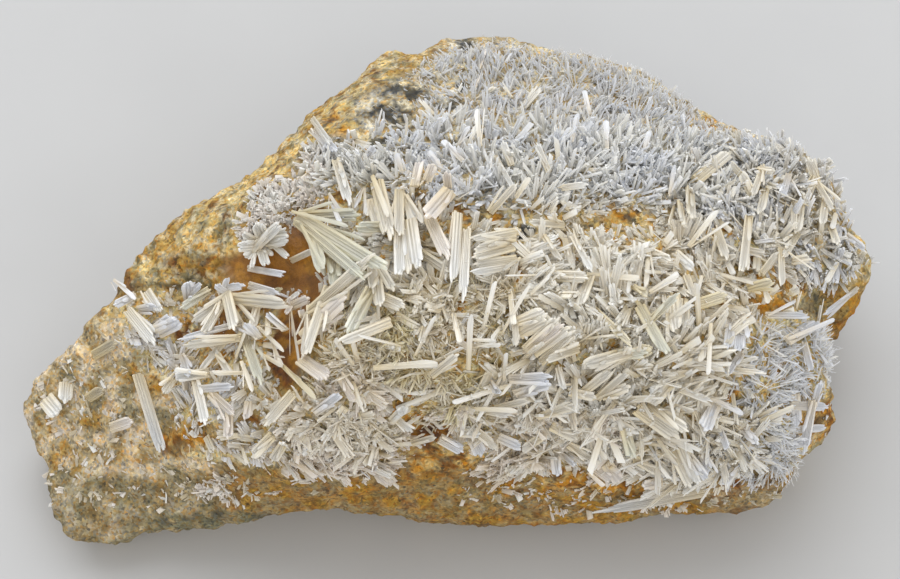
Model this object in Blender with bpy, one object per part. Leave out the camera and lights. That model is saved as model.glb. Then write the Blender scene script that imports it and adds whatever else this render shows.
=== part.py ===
"""A hand specimen of cerussite: a lump of limonite-stained sandy rock under a jackstraw crust of pale laths.

It lies on its flat underside. +X runs along the specimen, +Z is up, and -Y is the side towards the viewer.
Lengths are in millimetres, and become metres where a mesh is made.
"""

import math
import random

import bmesh
import bpy
import numpy as np
from mathutils import Vector, noise
from mathutils.bvhtree import BVHTree

MM = 0.001

# The line of sight from which places on the rock are read, in pixels of a 900 x 579 picture.
VIEW_ELEVATION = math.radians(60)
VIEW_DISTANCE = 280.0
VIEW_TARGET = Vector((0, 0, 22))
VIEW_MIDDLE = (450, 289.5)
PIXEL = 0.14
MOST_STEPS_IN = 30

# The widest outline of the rock, anticlockwise from the right-hand end.
RIM = [
    (60.4, 3, 22), (56.8, 7, 26), (55.6, 13, 26.5), (53.8, 18.4, 27), (48.8, 22.4, 27), (41.5, 24.4, 26),
    (37, 29.4, 25), (29, 35.6, 25), (22, 39, 25), (13, 39.6, 26), (4, 40.4, 27), (-2, 40.4, 27),
    (-5.5, 37.4, 28), (-9.5, 38.7, 27), (-13.8, 34.6, 28), (-18.4, 29.4, 28), (-22.8, 21.8, 28), (-30, 13.2, 29),
    (-37.6, 8.2, 29), (-43.6, 4, 28), (-46.6, -1.4, 26), (-50.6, -7.4, 22), (-56.5, -10.2, 18), (-60.3, -14, 14),
    (-57.4, -21, 10), (-55.8, -29, 8), (-51, -32.2, 6), (-44, -31.6, 7), (-34, -30.6, 9), (-26, -31, 12),
    (-16, -30.4, 14), (-8, -30, 12), (-3, -29.8, 10), (7, -29.8, 9), (15, -29.8, 9), (26, -29.8, 9),
    (35, -28.4, 9), (44, -28.6, 9), (47.2, -25.2, 10), (49.6, -21, 12), (54.2, -17.4, 14), (52.8, -12, 16),
    (51.8, -5.4, 18), (55, -3, 20),
]
SPINE = (Vector((-34, -15)), Vector((36, 2)))
CREST_X = [-34, -28, -20, -10, 0, 10, 20, 30, 36]
CREST_Z = [26, 33, 40, 44, 45, 44.5, 43, 39, 35]
BACK_SHARPNESS = 1.15
FRONT_SHARPNESS = 5.0
STATIONS = 150
FLANK_RINGS = 22
UNDERCUT_FRONT = 7.0
UNDERCUT_BACK = 3.0
UNDERSIDE = -1.6

# Hollows on the underside that lift its edge off the table: middle, radius, lift.
ARCHES = [(-18, -30, 15, 10), (50, 2, 12, 5), (-20, 24, 11, 4), (20, 36, 10, 3)]

# Bowls in the top: middle, half lengths, depth.
BOWLS = [(-22.5, -8.5, 8.5, 7.5, 4.6), (-20.5, -17.5, 4.5, 6.5, 2.6), (54, -4.5, 6, 4.5, 2.6), (-3, -27, 5.5, 5, 2.0)]

LEDGE_X = [-32, -29, -16, -8, 1, 15, 26, 37, 47, 58]
LEDGE_Y = [-3, -0.4, 3.7, 4.8, 0, -0.6, -2.6, 0, -4, -3]
LEDGE_STEP = [2.6, 2.8, 2.6, 2.2, 1.3, 1.0, 1.0, 1.0, 1.0, 0.6]
LUMPS = [(14.0, 1.3), (5.5, 0.75), (2.6, 0.3)]
ROCK_VOXEL = 0.9
ROCK_TRIANGLES = 2100

GAP = 0.34
CRUST_SKIN = 1.45
CRUST_BURIED = 0.9
ROOT_HEIGHT = 0.4
ROOT_BURIED = 1.6
FLATNESS = 0.55
SEED = 7

# The edge of the crust in the picture: down the ochre rim, round the back and right, along the front.
CRUST_EDGE = [
    (262, 205), (290, 178), (322, 142), (352, 162), (388, 152), (430, 124), (428, 92), (398, 72), (440, 48),
    (480, 38), (540, 50), (600, 58), (645, 74), (700, 112), (735, 138), (790, 146), (825, 170), (840, 200),
    (850, 235), (872, 262), (850, 284), (812, 292), (804, 310), (828, 322), (836, 345), (832, 400),
    (836, 428), (800, 455), (782, 486), (700, 492), (640, 492), (590, 500), (556, 484), (480, 482),
    (466, 450), (432, 430), (404, 440), (396, 468), (350, 468), (290, 460), (230, 458), (172, 446),
    (176, 400), (134, 350), (114, 300), (150, 286), (200, 292), (250, 292), (288, 302), (296, 316),
    (274, 342), (268, 370), (284, 396), (304, 386), (320, 346), (318, 300), (328, 262), (306, 232),
    (318, 212),
]

# Large laths of the crust: root and tip in the picture, rise of the tip off the rock, width.
BLADES = [
    ((302, 218), (396, 276), 5.0, 2.2), ((304, 224), (372, 282), 4.4, 1.6), ((322, 312), (378, 250), 5.0, 1.6),
    ((318, 330), (300, 360), 3.4, 1.2), ((383, 188), (392, 243), 5.0, 2.2), ((402, 190), (400, 240), 4.6, 1.4),
    ((340, 172), (351, 208), 4.0, 1.2), ((312, 222), (363, 212), 3.8, 1.5), ((412, 233), (405, 275), 4.6, 2.6),
    ((452, 228), (454, 283), 5.0, 1.5), ((459, 226), (465, 305), 5.8, 1.5), ((512, 246), (468, 244), 3.6, 1.3),
    ((512, 262), (470, 262), 3.6, 1.4), ((512, 274), (472, 275), 3.2, 1.2), ((540, 243), (566, 262), 3.4, 0.9),
    ((557, 278), (634, 280), 4.6, 1.4), ((524, 232), (556, 228), 3.0, 1.0), ((643, 246), (685, 252), 3.4, 1.0),
    ((574, 254), (593, 275), 3.6, 1.2), ((560, 245), (575, 274), 3.4, 0.9), ((644, 261), (646, 293), 3.6, 1.0),
    ((648, 295), (679, 273), 3.8, 0.9), ((593, 283), (576, 308), 3.6, 1.4), ((646, 255), (673, 264), 3.2, 1.4),
    ((476, 340), (501, 346), 3.0, 0.9), ((454, 318), (462, 351), 3.2, 0.9), ((516, 305), (512, 351), 4.2, 1.1),
    ((519, 331), (546, 316), 3.8, 1.6), ((526, 349), (566, 324), 4.6, 1.6), ((540, 356), (577, 325), 4.8, 1.5),
    ((527, 371), (569, 346), 4.6, 1.4), ((512, 380), (558, 375), 4.4, 2.4), ((564, 392), (561, 368), 4.8, 1.1),
    ((489, 366), (501, 394), 3.6, 1.3), ((432, 368), (461, 352), 3.2, 1.0), ((605, 325), (633, 347), 4.2, 1.2),
    ((584, 370), (632, 348), 5.0, 1.6), ((582, 362), (613, 350), 4.2, 2.0), ((635, 316), (670, 360), 5.0, 1.3),
    ((660, 312), (686, 336), 4.6, 2.8), ((551, 405), (582, 405), 3.8, 1.2), ((575, 389), (600, 398), 3.6, 1.0),
    ((593, 386), (628, 371), 4.4, 1.8), ((655, 375), (690, 395), 3.8, 1.0), ((647, 404), (662, 381), 4.4, 2.4),
    ((638, 399), (692, 438), 5.6, 2.8), ((667, 446), (698, 489), 4.8, 1.6), ((682, 436), (700, 478), 4.8, 1.4),
    ((627, 432), (634, 462), 4.0, 1.4), ((590, 436), (608, 458), 3.6, 1.0), ((600, 466), (624, 482), 3.4, 2.6),
    ((712, 233), (732, 277), 4.0, 1.1), ((741, 236), (742, 275), 4.2, 1.5), ((714, 257), (738, 258), 3.2, 1.2),
    ((745, 251), (768, 252), 3.0, 1.0), ((793, 240), (780, 264), 3.4, 1.1), ((777, 255), (758, 273), 3.4, 1.3),
    ((774, 262), (783, 286), 3.4, 1.1), ((753, 289), (769, 307), 3.0, 0.8), ((799, 288), (786, 298), 2.8, 1.1),
    ((818, 325), (780, 345), 3.4, 1.6), ((806, 318), (763, 324), 3.2, 1.1), ((692, 310), (729, 295), 4.0, 1.6),
    ((787, 263), (811, 257), 2.8, 1.3), ((792, 206), (797, 234), 3.2, 1.3), ((731, 151), (697, 188), 4.4, 2.0),
    ((741, 172), (744, 195), 3.2, 1.5), ((776, 171), (757, 180), 3.0, 1.1), ((763, 197), (760, 213), 3.0, 1.3),
    ((808, 160), (810, 186), 3.0, 1.2), ((782, 183), (782, 199), 3.0, 1.2), ((812, 190), (832, 210), 3.0, 1.0),
    ((818, 207), (822, 226), 2.8, 1.1), ((681, 200), (692, 222), 3.4, 1.2), ((675, 162), (661, 197), 3.4, 0.8),
    ((700, 352), (716, 392), 4.0, 1.4), ((740, 360), (752, 402), 3.6, 1.4), ((556, 430), (520, 452), 3.6, 1.4),
    ((500, 420), (482, 456), 3.6, 1.3), ((440, 400), (470, 430), 3.2, 1.2), ((372, 330), (398, 372), 3.4, 1.2),
    ((352, 352), (330, 400), 4.0, 1.5), ((330, 404), (300, 440), 4.0, 1.6), ((364, 410), (352, 452), 3.6, 1.4),
    ((282, 404), (260, 444), 3.4, 1.4), ((236, 372), (226, 420), 4.0, 1.6), ((222, 300), (176, 296), 3.4, 1.5),
    ((216, 306), (196, 342), 3.6, 1.4), ((240, 312), (276, 300), 3.4, 1.4), ((244, 318), (262, 346), 3.2, 1.2),
    ((206, 356), (160, 376), 3.6, 1.4), ((212, 362), (204, 408), 3.8, 1.4), ((134, 318), (154, 346), 3.0, 1.3),
    ((160, 296), (164, 318), 3.0, 1.2), ((290, 320), (268, 352), 3.0, 1.0), ((310, 384), (296, 420), 3.6, 1.4),
    ((484, 150), (476, 104), 4.4, 1.1), ((502, 152), (506, 116), 4.2, 1.0), ((458, 168), (440, 138), 4.0, 1.0),
    ((540, 140), (530, 100), 4.0, 1.0), ((566, 148), (578, 112), 4.0, 1.0), ((600, 150), (606, 120), 3.6, 1.0),
    ((436, 172), (428, 146), 3.8, 1.0), ((404, 172), (390, 148), 3.4, 0.9), ((520, 176), (540, 152), 3.4, 0.9),
    ((640, 160), (650, 128), 3.8, 1.0), ((672, 180), (690, 150), 3.6, 1.0), ((560, 196), (590, 184), 3.0, 0.9),
]

# Thin upright needles and small laths between the large ones: how many, and how they stand.
FIELD_NEEDLES = 16
MAT_LATHS = 12
SCATTER_MARGIN = 22

# Crystals that stand alone on bare rock: name, then root and tip in the picture, rise, width.
SINGLES = [
    ("hollow_lath_left", (252, 271), (286, 273), 1.8, 1.1),
    ("hollow_lath_right", (296, 262), (318, 250), 2.8, 1.1),
    ("hollow_lath_low", (262, 300), (284, 286), 1.6, 0.9),
    ("lobe_blade", (141, 380), (160, 451), 3.4, 2.2),
    ("lobe_lath_high", (98, 352), (118, 341), 1.6, 1.3),
    ("lobe_lath_middle", (92, 396), (104, 388), 1.5, 1.3),
    ("lobe_lath_low", (117, 426), (134, 420), 1.8, 1.4),
    ("front_lath", (704, 489), (591, 513), 3.0, 2.8),
    ("tip_grain_high", (68, 386), (65, 404), 1.6, 2.0),
    ("tip_grain_low", (50, 402), (60, 416), 1.6, 2.4),
]
ROSETTE = [
    ((264, 238), (243, 246), 2.6, 1.6), ((264, 238), (248, 226), 2.8, 1.5), ((264, 238), (262, 212), 2.8, 1.5),
    ((264, 238), (284, 224), 3.0, 1.6), ((264, 238), (288, 242), 2.6, 1.5), ((264, 238), (266, 262), 2.4, 1.4),
]
EDGE_PAIR = [((790, 400), (822, 408), 1.8, 1.4), ((790, 424), (820, 430), 1.8, 1.4), ((794, 398), (798, 428), 1.4, 1.4)]


def smooth(value):
    value = np.clip(value, 0.0, 1.0)
    return value * value * (3 - 2 * value)


def clear_scene():
    for thing in list(bpy.data.objects):
        bpy.data.objects.remove(thing, do_unlink=True)


def material(name, color, roughness):
    made = bpy.data.materials.new(name)
    made.use_nodes = True
    shader = made.node_tree.nodes["Principled BSDF"]
    shader.inputs["Base Color"].default_value = (*color, 1)
    shader.inputs["Roughness"].default_value = roughness
    shader.inputs["Metallic"].default_value = 0
    return made


def object_from(name, points, faces):
    """A mesh object in metres from points in millimetres."""
    mesh = bpy.data.meshes.new(name)
    mesh.from_pydata([tuple(float(c) * MM for c in p) for p in points], [], faces)
    mesh.update()
    made = bpy.data.objects.new(name, mesh)
    bpy.context.scene.collection.objects.link(made)
    return made


def apply_modifier(thing, kind, **settings):
    """Adds a modifier with these settings and applies it."""
    modifier = thing.modifiers.new(kind.title(), kind)
    for setting, value in settings.items():
        setattr(modifier, setting, value)
    bpy.context.view_layer.objects.active = thing
    bpy.ops.object.modifier_apply(modifier=modifier.name)


def combine(thing, other, operation, joined_pieces=False):
    """Joins or cuts with another object, which is used up."""
    apply_modifier(thing, "BOOLEAN", operation=operation, object=other, solver="EXACT", use_self=joined_pieces)
    bpy.data.objects.remove(other, do_unlink=True)


def points_of(thing):
    """The points of a mesh in millimetres."""
    flat = np.empty(len(thing.data.vertices) * 3)
    thing.data.vertices.foreach_get("co", flat)
    return flat.reshape(-1, 3) / MM


def normals_of(thing):
    flat = np.empty(len(thing.data.vertices) * 3)
    thing.data.vertex_normals.foreach_get("vector", flat)
    return flat.reshape(-1, 3)


def move_points(thing, points):
    thing.data.vertices.foreach_set("co", (points * MM).ravel())
    thing.data.update()


def copy_of(thing, name):
    made = thing.copy()
    made.data = thing.data.copy()
    made.name = name
    bpy.context.scene.collection.objects.link(made)
    return made


def keep_largest_body(thing):
    """Drops the loose scraps that a cut leaves, so that one closed body stays."""
    shape = bmesh.new()
    shape.from_mesh(thing.data)
    bodies = []
    waiting = set(shape.verts)
    while waiting:
        body = [waiting.pop()]
        for point in body:
            for edge in point.link_edges:
                other = edge.other_vert(point)
                if other in waiting:
                    waiting.discard(other)
                    body.append(other)
        bodies.append(body)
    largest = max(bodies, key=len)
    loose = [point for body in bodies if body is not largest for point in body]
    bmesh.ops.delete(shape, geom=loose, context="VERTS")
    bmesh.ops.triangulate(shape, faces=shape.faces)
    shape.to_mesh(thing.data)
    shape.free()


def rim_outline():
    """The rim as evenly spaced points of a smooth closed curve."""
    corners = np.array(RIM, float)
    dense = []
    for i in range(len(corners)):
        a, b, c, d = (corners[(i + k) % len(corners)] for k in (-1, 0, 1, 2))
        for t in np.linspace(0, 1, 12, endpoint=False):
            dense.append(0.5 * (2 * b + (c - a) * t + (2 * a - 5 * b + 4 * c - d) * t**2 + (3 * b - a - 3 * c + d) * t**3))
    dense = np.array(dense)
    steps = np.linalg.norm(np.roll(dense, -1, axis=0) - dense, axis=1)
    walked = np.concatenate([[0], np.cumsum(steps)])
    closed = np.vstack([dense, dense[:1]])
    places = np.linspace(0, walked[-1], STATIONS, endpoint=False)
    return np.column_stack([np.interp(places, walked, closed[:, k]) for k in range(3)])


def spine_points(rim):
    """The nearest point of the spine to each rim point, at the height of the crest."""
    start, end = (np.array(point) for point in SPINE)
    along = end - start
    share = np.clip(((rim[:, :2] - start) @ along) / (along @ along), 0, 1)
    flat = start + share[:, None] * along
    return np.column_stack([flat, np.interp(flat[:, 0], CREST_X, CREST_Z)])


def underside_lift(points):
    lift = np.zeros(len(points))
    for x, y, radius, height in ARCHES:
        away = np.hypot(points[:, 0] - x, points[:, 1] - y) / radius
        lift = np.maximum(lift, height * smooth(1.25 - away))
    return lift


def rock_rings():
    """Closed rings from the middle of the underside, out to the rim and in again to the spine."""
    rim = rim_outline()
    top = spine_points(rim)
    outward = rim[:, :2] - top[:, :2]
    outward /= np.linalg.norm(outward, axis=1)[:, None]
    front = np.clip(-outward[:, 1], 0, 1)
    middle = rim.mean(axis=0)
    rings = []
    for share in (0.15, 0.4, 0.65, 0.85, 1.0):
        inset = rim[:, :2] - outward * (UNDERCUT_BACK + (UNDERCUT_FRONT - UNDERCUT_BACK) * front)[:, None]
        flat = middle[:2] + share * (inset - middle[:2])
        ring = np.column_stack([flat, np.full(len(rim), UNDERSIDE)])
        ring[:, 2] += underside_lift(ring)
        rings.append(ring)
    foot = rings[-1]
    for share in (0.25, 0.5, 0.75):
        ring = foot + (rim - foot) * share
        rings.append(ring)
    gentle = smooth((rim[:, 0] + 46) / 28)
    sharpness = BACK_SHARPNESS + (FRONT_SHARPNESS - BACK_SHARPNESS) * front * gentle
    for share in np.linspace(1.0, 0.05, FLANK_RINGS):
        ring = top + (rim - top) * share
        ring[:, 2] = rim[:, 2] + (top[:, 2] - rim[:, 2]) * (1 - share**sharpness)
        rings.append(ring)
    return rings


def loft(name, rings):
    count = len(rings[0])
    faces = [list(range(count))[::-1]]
    for level in range(len(rings) - 1):
        for i in range(count):
            j = (i + 1) % count
            faces.append([level * count + i, level * count + j, (level + 1) * count + j, (level + 1) * count + i])
    faces.append([(len(rings) - 1) * count + i for i in range(count)])
    return object_from(name, np.vstack(rings), faces)


def rim_distance(points):
    """How far each point lies inside the rim, seen from above."""
    rim = rim_outline()[:, :2]
    nearest = np.full(len(points), 1e9)
    for x, y in rim:
        nearest = np.minimum(nearest, np.hypot(points[:, 0] - x, points[:, 1] - y))
    return nearest


def shape_surface(rock):
    """Raises the field behind the ledge, sinks the bowls and roughens the whole with lumps."""
    points = points_of(rock)
    facing_up = np.clip(normals_of(rock)[:, 2] * 2, 0, 1)
    inner = smooth(rim_distance(points) / 7)
    behind = smooth((points[:, 1] - np.interp(points[:, 0], LEDGE_X, LEDGE_Y)) / 1.6 + 0.5)
    points[:, 2] += np.interp(points[:, 0], LEDGE_X, LEDGE_STEP) * behind * facing_up * inner
    for x, y, half_x, half_y, depth in BOWLS:
        away = np.hypot((points[:, 0] - x) / half_x, (points[:, 1] - y) / half_y)
        points[:, 2] -= depth * smooth(1.2 - away) * facing_up
    move_points(rock, points)
    points = points_of(rock)
    normals = normals_of(rock)
    for size, height in LUMPS:
        push = np.array([noise.noise(Vector(p / size + 11.3)) for p in points])
        points += normals * (height * push)[:, None]
    move_points(rock, points)


def cut_flat(rock):
    """Cuts the underside off level with the table and closes it."""
    shape = bmesh.new()
    shape.from_mesh(rock.data)
    everything = shape.verts[:] + shape.edges[:] + shape.faces[:]
    bmesh.ops.bisect_plane(shape, geom=everything, plane_co=(0, 0, 0), plane_no=(0, 0, -1), clear_outer=True)
    bmesh.ops.holes_fill(shape, edges=[edge for edge in shape.edges if edge.is_boundary], sides=0)
    bmesh.ops.triangulate(shape, faces=shape.faces)
    shape.to_mesh(rock.data)
    shape.free()


def make_rock():
    rock = loft("matrix_rock", rock_rings())
    apply_modifier(rock, "REMESH", mode="VOXEL", voxel_size=ROCK_VOXEL * MM)
    shape_surface(rock)
    dense = sum(len(face.vertices) - 2 for face in rock.data.polygons)
    apply_modifier(rock, "DECIMATE", ratio=ROCK_TRIANGLES / dense, use_collapse_triangulate=True)
    cut_flat(rock)
    rock.data.materials.append(material("limonite stained rock", (0.42, 0.28, 0.12), 0.9))
    return rock


def view_ray(pixel):
    """Where the line of sight starts, and its direction through a pixel."""
    ahead = Vector((0, math.cos(VIEW_ELEVATION), -math.sin(VIEW_ELEVATION)))
    up = Vector((0, math.sin(VIEW_ELEVATION), math.cos(VIEW_ELEVATION)))
    side = (pixel[0] - VIEW_MIDDLE[0]) * PIXEL / VIEW_DISTANCE
    height = (VIEW_MIDDLE[1] - pixel[1]) * PIXEL / VIEW_DISTANCE
    return VIEW_TARGET - ahead * VIEW_DISTANCE, (ahead + Vector((side, 0, 0)) + up * height).normalized()


def pixels_of(points):
    """Each point's place in the picture."""
    ahead = np.array((0, math.cos(VIEW_ELEVATION), -math.sin(VIEW_ELEVATION)))
    up = np.array((0, math.sin(VIEW_ELEVATION), math.cos(VIEW_ELEVATION)))
    from_eye = points - (np.array(VIEW_TARGET) - ahead * VIEW_DISTANCE)
    scale = VIEW_DISTANCE / PIXEL / (from_eye @ ahead)
    return np.column_stack([VIEW_MIDDLE[0] + from_eye[:, 0] * scale, VIEW_MIDDLE[1] - (from_eye @ up) * scale])


def inside_edge(pixels, outline):
    """How many pixels each place lies inside a closed outline, negative outside."""
    corners = np.array(outline, float)
    nearest = np.full(len(pixels), 1e9)
    inside = np.zeros(len(pixels), bool)
    for a, b in zip(corners, np.roll(corners, -1, axis=0)):
        along = b - a
        share = np.clip(((pixels - a) @ along) / (along @ along), 0, 1)
        nearest = np.minimum(nearest, np.linalg.norm(pixels - a - share[:, None] * along, axis=1))
        crosses = (a[1] > pixels[:, 1]) != (b[1] > pixels[:, 1])
        reach = a[0] + (pixels[:, 1] - a[1]) / (b[1] - a[1] if b[1] != a[1] else 1) * along[0]
        inside ^= crosses & (pixels[:, 0] < reach)
    return np.where(inside, nearest, -nearest)


def surface_of(rock):
    points = [Vector(p) for p in points_of(rock)]
    return BVHTree.FromPolygons(points, [tuple(face.vertices) for face in rock.data.polygons])


def place(surface, pixel):
    """The point and normal of the rock that show at a pixel, which is drawn in until rock shows there."""
    place_now = Vector(pixel)
    for _ in range(MOST_STEPS_IN):
        eye, direction = view_ray(place_now)
        point, normal, _, _ = surface.ray_cast(eye, direction)
        if point is not None:
            return point, normal, direction
        place_now += (Vector(VIEW_MIDDLE) - place_now).normalized()
    raise ValueError(f"no rock shows near {pixel}")


def lath(root, tip, width, thickness, face_to, buried):
    """Points and faces of one lath with a chisel end. Its broad side turns towards face_to."""
    along = (tip - root).normalized()
    across = along.cross(face_to).normalized() * (width / 2)
    deep = across.cross(along).normalized() * (thickness / 2)
    start = root - along * buried
    shoulder = root + (tip - root) - along * width * 0.55
    corners = [(1, 1), (-1, 1), (-1, -1), (1, -1)]
    points = [start + across * a + deep * d for a, d in corners]
    points += [shoulder + across * a * 0.92 + deep * d for a, d in corners]
    points += [tip + across * 0.55, tip - across * 0.3 - along * width * 0.25]
    faces = [(3, 2, 1, 0), (0, 1, 5, 4), (1, 2, 6, 5), (2, 3, 7, 6), (3, 0, 4, 7)]
    faces += [(4, 5, 9, 8), (6, 7, 8, 9), (5, 6, 9), (7, 4, 8)]
    return points, faces


def lath_between(surface, root_pixel, tip_pixel, rise, width, wider=0.0):
    """A lath rooted in the rock at one pixel, whose tip shows at another and stands clear of the rock."""
    root, normal, _ = place(surface, root_pixel)
    below, tip_normal, sight = place(surface, tip_pixel)
    tip = below - sight * (rise / max(0.35, -tip_normal.dot(sight)))
    root = root + normal * ROOT_HEIGHT
    tip = tip + (tip - root).normalized() * wider
    return lath(root, tip, width + 2 * wider, width * FLATNESS + 2 * wider, normal - sight, ROOT_BURIED + wider)


def lath_object(name, laths):
    """One object out of several laths."""
    points = []
    faces = []
    for lath_points, lath_faces in laths:
        faces += [[i + len(points) for i in face] for face in lath_faces]
        points += lath_points
    made = object_from(name, points, faces)
    shape = bmesh.new()
    shape.from_mesh(made.data)
    bmesh.ops.recalc_face_normals(shape, faces=shape.faces)
    shape.to_mesh(made.data)
    shape.free()
    return made


def rock_with_gap(rock):
    """The rock, swollen by the gap that a crystal leaves to it."""
    swollen = copy_of(rock, "swollen_rock")
    move_points(swollen, points_of(rock) + normals_of(rock) * GAP)
    return swollen


def scattered_laths(surface, chance):
    """Small laths all over the crust: upright needles behind the ledge, low laths in front of it."""
    made = []
    edge = np.array(CRUST_EDGE)
    low, high = edge.min(axis=0), edge.max(axis=0)
    wanted = {"field": FIELD_NEEDLES, "mat": MAT_LATHS}
    while any(wanted.values()):
        pixel = (chance.uniform(low[0], high[0]), chance.uniform(low[1], high[1]))
        if inside_edge(np.array([pixel]), CRUST_EDGE)[0] < SCATTER_MARGIN:
            continue
        root, normal, _ = place(surface, pixel)
        kind = "field" if root.y > np.interp(root.x, LEDGE_X, LEDGE_Y) else "mat"
        if wanted[kind] == 0:
            continue
        wanted[kind] -= 1
        turn = chance.uniform(0, math.tau)
        lean = chance.uniform(0.25, 0.7) if kind == "field" else chance.uniform(0.8, 1.15)
        across = normal.orthogonal().normalized()
        flat = across * math.cos(turn) + normal.cross(across) * math.sin(turn)
        along = normal * math.cos(lean) + flat * math.sin(lean)
        length = chance.uniform(4.0, 5.6)
        width = chance.uniform(0.8, 1.3)
        made.append(lath(root, root + along * length, width, width * FLATNESS, normal + flat * 0.3, ROOT_BURIED))
    return made


def make_crust(rock, surface, color):
    """The rock's skin of grown-together crystals: a thin bed of them, with the larger laths standing out of it."""
    crust = copy_of(rock, "cerussite_crust")
    crust.data.materials.clear()
    points = points_of(rock)
    within = inside_edge(pixels_of(points), CRUST_EDGE)
    seen = np.clip(normals_of(rock)[:, 2] * 4 + 1.6, 0, 1)
    share = smooth(within / 14) * smooth(seen) * (points[:, 2] > 5)
    move_points(crust, points + normals_of(rock) * (share * (CRUST_SKIN + CRUST_BURIED) - CRUST_BURIED)[:, None])
    laths = [lath_between(surface, *blade) for blade in BLADES]
    laths += scattered_laths(surface, random.Random(SEED))
    combine(crust, lath_object("laths", laths), "UNION", joined_pieces=True)
    combine(crust, rock_with_gap(rock), "DIFFERENCE")
    clearance = [lath_between(surface, *single[1:], wider=GAP) for single in SINGLES]
    clearance += [lath_between(surface, *blade, wider=GAP) for blade in ROSETTE + EDGE_PAIR]
    combine(crust, lath_object("clearance", clearance), "DIFFERENCE", joined_pieces=True)
    keep_largest_body(crust)
    crust.data.materials.append(color)


def make_single(name, rock, surface, blades, color):
    made = lath_object(name, [lath_between(surface, *blade) for blade in blades])
    if len(blades) > 1:
        core = lath_object("core", [lath_between(surface, *blades[0])])
        combine(made, core, "UNION", joined_pieces=True)
    combine(made, rock_with_gap(rock), "DIFFERENCE")
    keep_largest_body(made)
    made.data.materials.append(color)


def main():
    clear_scene()
    rock = make_rock()
    surface = surface_of(rock)
    color = material("cerussite", (0.83, 0.80, 0.70), 0.3)
    make_crust(rock, surface, color)
    for name, *blade in SINGLES:
        make_single(name, rock, surface, [blade], color)
    make_single("rim_rosette", rock, surface, ROSETTE, color)
    make_single("edge_lath_pair", rock, surface, EDGE_PAIR, color)


main()
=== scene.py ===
"""Looks of a cerussite hand specimen: sandy limonite-stained rock under a jackstraw crust of pale crystals.

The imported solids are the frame. The rock is dressed as one fine-grained mesh, and the crystals are planted
on it in patches: beds of small slats, and on top of them the large laths that can be told apart.
Lengths in the lists and functions are millimetres. Meshes are in metres.
"""

import math
import random

import bmesh
import bpy
import numpy as np
from bpy.props import FloatProperty, FloatVectorProperty, IntProperty, PointerProperty
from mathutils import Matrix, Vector, noise
from mathutils.bvhtree import BVHTree


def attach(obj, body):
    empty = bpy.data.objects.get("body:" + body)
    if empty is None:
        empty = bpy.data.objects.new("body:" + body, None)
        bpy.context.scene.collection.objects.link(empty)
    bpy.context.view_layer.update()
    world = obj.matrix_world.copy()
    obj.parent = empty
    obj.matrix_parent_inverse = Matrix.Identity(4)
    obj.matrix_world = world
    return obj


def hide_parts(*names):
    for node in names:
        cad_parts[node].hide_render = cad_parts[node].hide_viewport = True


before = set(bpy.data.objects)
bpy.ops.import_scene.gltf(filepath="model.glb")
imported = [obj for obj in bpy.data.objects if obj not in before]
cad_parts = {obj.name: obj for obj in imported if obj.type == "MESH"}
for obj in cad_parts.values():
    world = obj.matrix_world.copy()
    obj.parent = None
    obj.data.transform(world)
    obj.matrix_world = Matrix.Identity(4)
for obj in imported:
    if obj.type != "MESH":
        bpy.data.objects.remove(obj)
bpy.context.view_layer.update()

bl_info = {
    "name": "Cerussite Specimen",
    "version": (1, 0, 0),
    "blender": (4, 5, 0),
    "location": "3D View > Sidebar > Cerussite",
    "description": "Dresses a cerussite hand specimen with sandy rock and a jackstraw crystal crust",
    "category": "Object",
}

MM = 0.001


def rows(*lines):
    """The rows of a table written as lines of text: commas part the rows, of numbers and colour names."""
    words = [row.split() for line in lines for row in line.split(",")]
    return [tuple(word if word.isalpha() else float(word) for word in row) for row in words]


# The photographed line of sight. Places on the specimen are read off it, in pixels of a 900 x 579 picture.
VIEW_ELEVATION = math.radians(60)
VIEW_DISTANCE = 280.0
VIEW_TARGET = Vector((0, 0, 22))
VIEW_MIDDLE = (450, 289.5)
PICTURE_WIDTH = 900
PIXEL = 0.14
SENSOR_WIDTH = 36.0

# A place beside the rock is drawn in by up to this many pixels, until it meets rock.
MOST_STEPS_IN = 30

# The large laths: how far one may reach in depth as a share of its length in the picture, how deep its root
# is sunk, how high its tip stands off the rock, its width and thickness as shares of the listed width,
# and the least listed width of one that is a blade of several slats.
MOST_DEPTH = 1.2
ROOT_SUNK = 0.8
LEAST_RISE, RISE_PER_REACH, MOST_RISE = 2.2, 0.24, 4.8
LATH_WIDTH, LATH_THICKNESS = 0.88, 0.42
LEAST_BLADE = 0.8

# The beds: how far down the rock may face and lie and still carry crystals, how thinly they stray beyond
# their ovals, the share of fresh white ones, the thinnest one, and the size of the patches of tint.
LOWEST_FACING, LOWEST_GROUND = -0.35, 6
STRAY_SHARE = 0.004
WHITE_SHARE = 0.14
THINNEST = 0.14
TINT_PATCH = 6.0

# The edge of the crust in the picture: up the ochre rim, round the back and right, along the front.
CRUST_EDGE = rows(
    "262 205, 290 178, 318 146, 338 122, 354 100, 380 84, 408 74, 428 60, 446 46, 480 38, 540 48, 600 56",
    "645 72, 700 108, 735 134, 790 142, 825 164, 842 200, 852 235, 874 262, 850 286, 812 292, 804 308",
    "828 320, 836 345, 832 400, 836 428, 808 455, 784 488, 700 496, 640 494, 590 500, 556 486, 480 484",
    "460 455, 432 446, 404 452, 392 482, 350 482, 290 474, 230 466, 172 456, 172 400, 130 350, 112 300",
    "150 284, 200 290, 250 290, 284 293, 306 290, 312 304, 300 318, 284 326, 274 342, 268 370, 284 396",
    "304 386, 316 352, 314 322, 316 308, 322 290, 326 262, 304 232, 318 210",
)

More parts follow.
